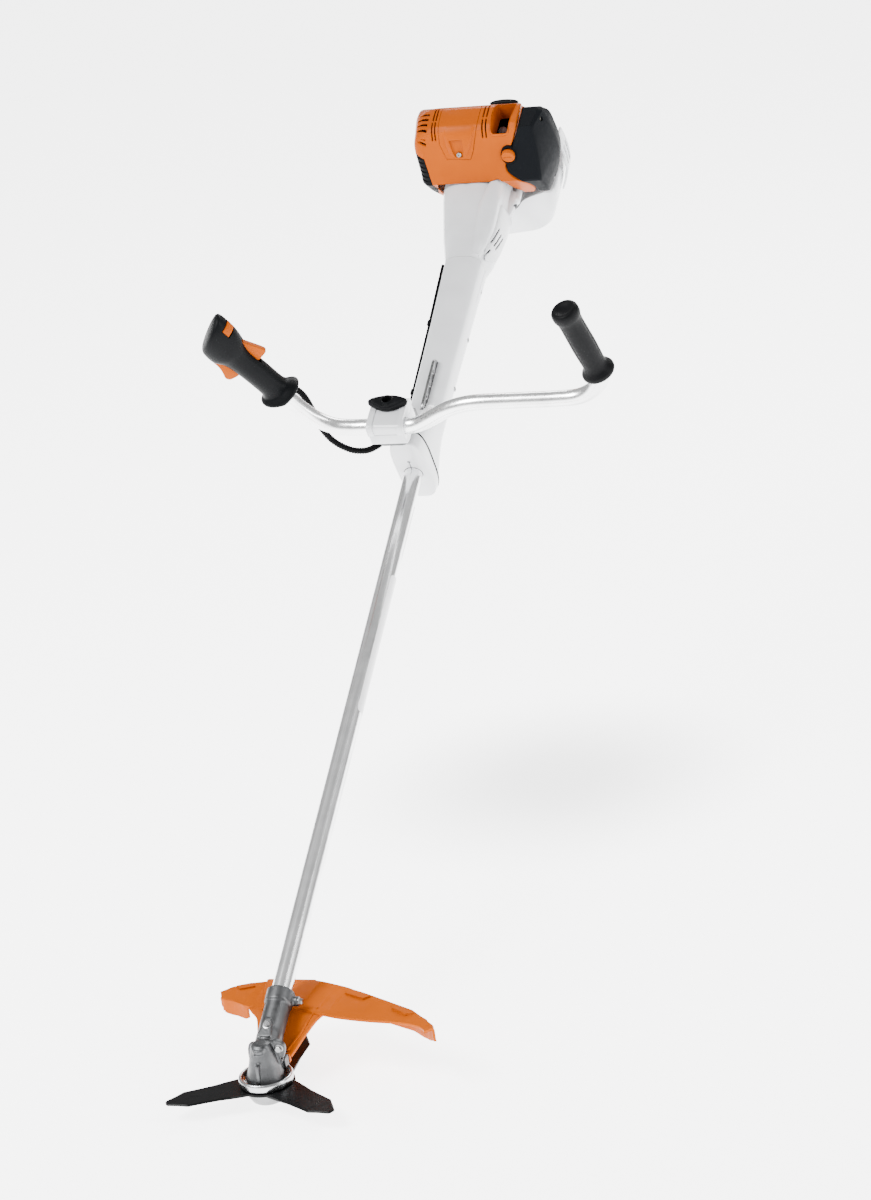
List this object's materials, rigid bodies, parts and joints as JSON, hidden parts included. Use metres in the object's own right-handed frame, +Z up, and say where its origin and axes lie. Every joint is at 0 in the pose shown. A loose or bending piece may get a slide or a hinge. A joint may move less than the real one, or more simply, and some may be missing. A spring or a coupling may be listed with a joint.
{
  "type": "brush mower",
  "caption": "Two-handle petrol brush mower: engine and clutch on a long drive tube, wide handlebar, bevel gear head with a three-tooth knife and a fan-shaped guard.",
  "frame": {"origin": "middle hole of the carry rail, where the harness hook holds the machine up", "axes": "+Y level, from the knife towards the engine; +X to the right of that seen from in front of the knife; +Z up; the drive tube leans up by 28.8 degrees so that the knife is level"},
  "size_m": [0.5568, 1.5659, 0.9066],
  "materials": {
    "orange_plastic": "satin moulded",
    "black_plastic": "textured moulded",
    "white_plastic": "gloss moulded",
    "alloy": "polished",
    "casting": "as cast",
    "steel": "machined",
    "chrome_rim": "polished",
    "knife_paint": "semi-gloss black",
    "rubber": "soft touch",
    "felt": "felt",
    "bronze": "sintered",
    "ceramic": "glazed"
  },
  "bodies": {
    "frame": {"gear_housing": "casting", "grease_plug": "steel", "neck_clamp_screw": "steel", "output_bearing": "steel", "pinion_bearing": "steel", "guard": "orange_plastic", "guard_screw": "steel", "drive_tube": "alloy", "shaft_bush": "bronze", "shaft_casing": "white_plastic", "casing_nose": "white_plastic", "carry_rail": "steel", "handle_support": "casting", "clutch_housing": "white_plastic", "vent_cover": "white_plastic", "engine_shroud": "orange_plastic", "plug_cover": "orange_plastic", "filter_cover": "black_plastic", "air_filter": "felt", "carburettor": "casting", "fuel_tank": "white_plastic", "engine_foot": "white_plastic", "muffler": "steel", "muffler_guard": "black_plastic", "cylinder": "casting", "spark_plug": "ceramic", "crankcase": "casting", "starter_housing": "black_plastic", "cable_sleeve": "rubber", "throttle_cable": "black_plastic", "cable_clip_upper": "black_plastic", "cable_clip_lower": "black_plastic"},
    "cutter": {"brush_knife": "knife_paint", "thrust_plate": "chrome_rim", "rider_plate": "casting", "blade_nut": "steel", "output_shaft": "steel", "output_gear": "steel"},
    "drive": {"drive_shaft": "steel", "pinion_gear": "steel", "clutch_drum": "steel"},
    "crank": {"crankshaft": "steel", "flywheel_fan": "casting"},
    "shoe_a": {"clutch_shoe_a": "steel"},
    "shoe_b": {"clutch_shoe_b": "steel"},
    "piston": {"piston": "alloy"},
    "clamp": {"clamp_lower": "white_plastic", "clamp_upper": "white_plastic"},
    "hand_screw": {"wing_screw": "black_plastic"},
    "bar": {"handlebar": "alloy", "plain_grip": "rubber", "control_grip_front": "black_plastic", "control_grip_rear": "black_plastic"},
    "trigger": {"throttle_trigger": "orange_plastic"},
    "lockout": {"trigger_lockout": "orange_plastic"},
    "stop": {"stop_switch": "orange_plastic"},
    "choke": {"choke_knob": "orange_plastic"},
    "primer": {"primer_bulb": "rubber"},
    "pull_grip": {"starter_grip": "black_plastic"},
    "tank_cap": {"fuel_cap": "black_plastic"}
  },
  "joints": [
    {"name": "cutter_spin", "type": "hinge", "parent": "frame", "child": "cutter", "pos_m": [-0.004, -0.93762, -0.55289], "axis": [0, 0, 1], "continuous": true},
    {"name": "shaft_spin", "type": "hinge", "parent": "frame", "child": "drive", "pos_m": [-0.004, -0.93762, -0.55289], "axis": [0, 0.8763, 0.4818], "continuous": true},
    {"name": "crank_spin", "type": "hinge", "parent": "frame", "child": "crank", "pos_m": [-0.004, 0.41803, 0.19238], "axis": [0, 0.8763, 0.4818], "continuous": true},
    {"name": "shoe_a_slide", "type": "slide", "parent": "crank", "child": "shoe_a", "axis": [1, 0, 0], "range_m": [0, 0.001], "stiffness_N_per_m": 3000},
    {"name": "shoe_b_slide", "type": "slide", "parent": "crank", "child": "shoe_b", "axis": [-1, 0, 0], "range_m": [0, 0.001], "stiffness_N_per_m": 3000},
    {"name": "piston_slide", "type": "slide", "parent": "frame", "child": "piston", "axis": [0, -0.4818, 0.8763], "range_m": [-0.012, 0.012]},
    {"name": "handle_swivel", "type": "hinge", "parent": "frame", "child": "clamp", "pos_m": [-0.004, -0.15584, 0.01155], "axis": [0, -0.4818, 0.8763], "range_deg": [0, 90], "deforming": ["cable_sleeve"]},
    {"name": "handle_tilt", "type": "hinge", "parent": "clamp", "child": "bar", "pos_m": [-0.004, -0.17644, 0.00023], "axis": [1, 0, 0], "range_deg": [-20, 20], "deforming": ["cable_sleeve"]},
    {"name": "wing_screw_turn", "type": "hinge", "parent": "frame", "child": "hand_screw", "pos_m": [-0.004, -0.15584, 0.01155], "axis": [0, -0.4818, 0.8763], "range_deg": [0, 360]},
    {"name": "trigger_pull", "type": "hinge", "parent": "bar", "child": "trigger", "pos_m": [-0.19898, -0.25487, 0.13071], "axis": [0.2707, -0.9053, -0.3275], "range_deg": [0, 14], "stiffness_Nm_per_rad": 0.5, "springref_deg": -5.73},
    {"name": "lockout_press", "type": "hinge", "parent": "bar", "child": "lockout", "pos_m": [-0.16776, -0.25064, 0.14484], "axis": [-0.2707, 0.9053, 0.3275], "range_deg": [0, 5], "stiffness_Nm_per_rad": 0.5, "springref_deg": -5.73},
    {"name": "stop_press", "type": "slide", "parent": "bar", "child": "stop", "axis": [-0.833, -0.0497, -0.551], "range_m": [0, 0.002], "stiffness_N_per_m": 800, "springref_m": -0.001},
    {"name": "choke_turn", "type": "hinge", "parent": "frame", "child": "choke", "pos_m": [0.052, 0.33926, 0.23809], "axis": [0, 0.8763, 0.4818], "range_deg": [0, 90]},
    {"name": "primer_press", "type": "slide", "parent": "frame", "child": "primer", "axis": [0, 0.4818, -0.8763], "range_m": [0, 0.003], "stiffness_N_per_m": 800, "springref_m": -0.001},
    {"name": "starter_pull", "type": "slide", "parent": "frame", "child": "pull_grip", "axis": [0, 0.279, 0.9603], "range_m": [0, 0.7], "stiffness_N_per_m": 20, "springref_m": -0.3},
    {"name": "fuel_cap_turn", "type": "hinge", "parent": "frame", "child": "tank_cap", "pos_m": [0.01, 0.54336, 0.15744], "axis": [0, 0.8763, 0.4818], "range_deg": [0, 90]}
  ],
  "couplings": [
    {"joint": "shaft_spin", "follows": "cutter_spin", "ratio": 1.4},
    {"joint": "shoe_b_slide", "follows": "shoe_a_slide", "ratio": 1}
  ]
}
